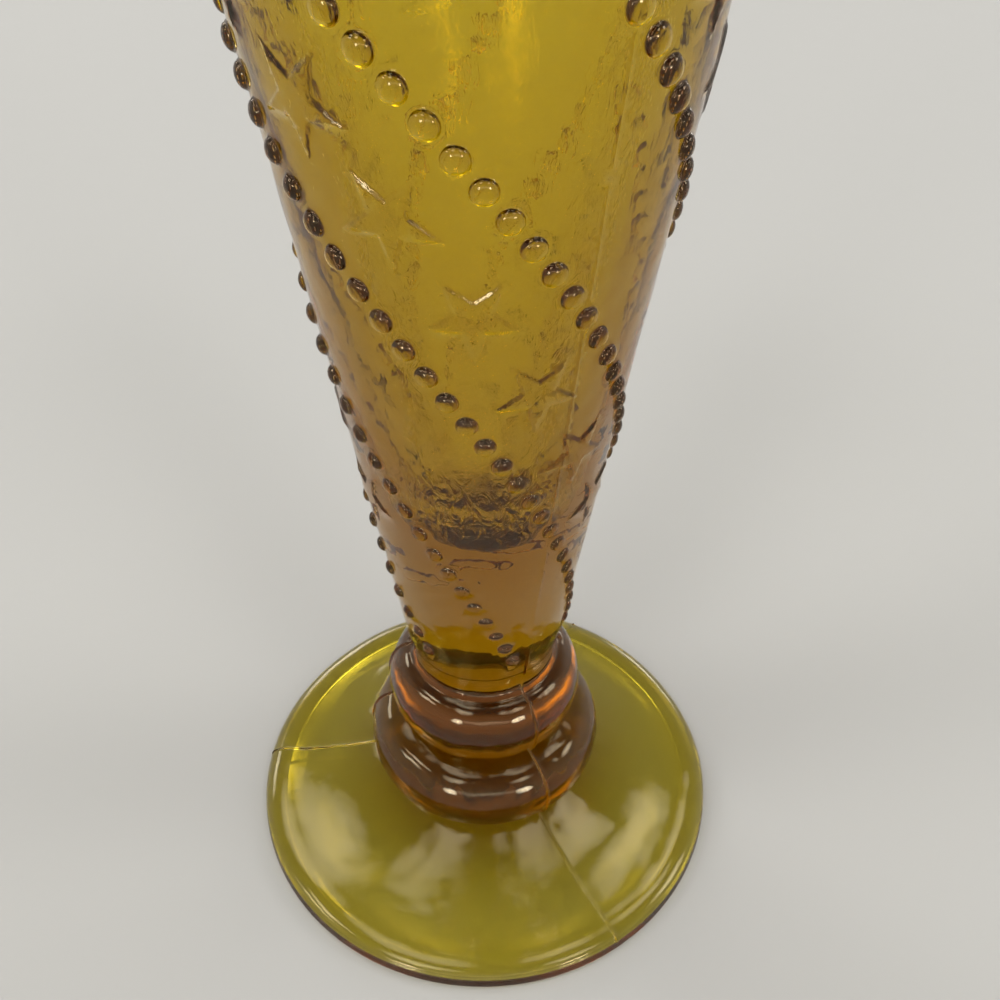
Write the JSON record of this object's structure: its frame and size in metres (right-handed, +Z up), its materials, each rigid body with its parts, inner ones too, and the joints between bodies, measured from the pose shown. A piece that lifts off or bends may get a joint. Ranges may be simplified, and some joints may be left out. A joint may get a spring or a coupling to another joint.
{
  "type": "bud vase",
  "caption": "Footed bud vase of pressed amber glass: round foot, stacked knops, solid stem and a hollow tapering bowl with swirling bead strings and stars.",
  "frame": {"origin": "centre of the flat ring that the foot stands on", "axes": "+Z up along the vase's axis towards the mouth; -Y is the front, the side the picture sees"},
  "size_m": [0.08, 0.08, 0.2],
  "materials": {
    "amber_glass": "clear amber pressed glass, fire-polished"
  },
  "bodies": {
    "root": {"foot": "amber_glass", "lower_knop": "amber_glass", "upper_knop": "amber_glass", "neck": "amber_glass", "stem": "amber_glass", "bowl": "amber_glass", "lip": "amber_glass"}
  },
  "joints": []
}
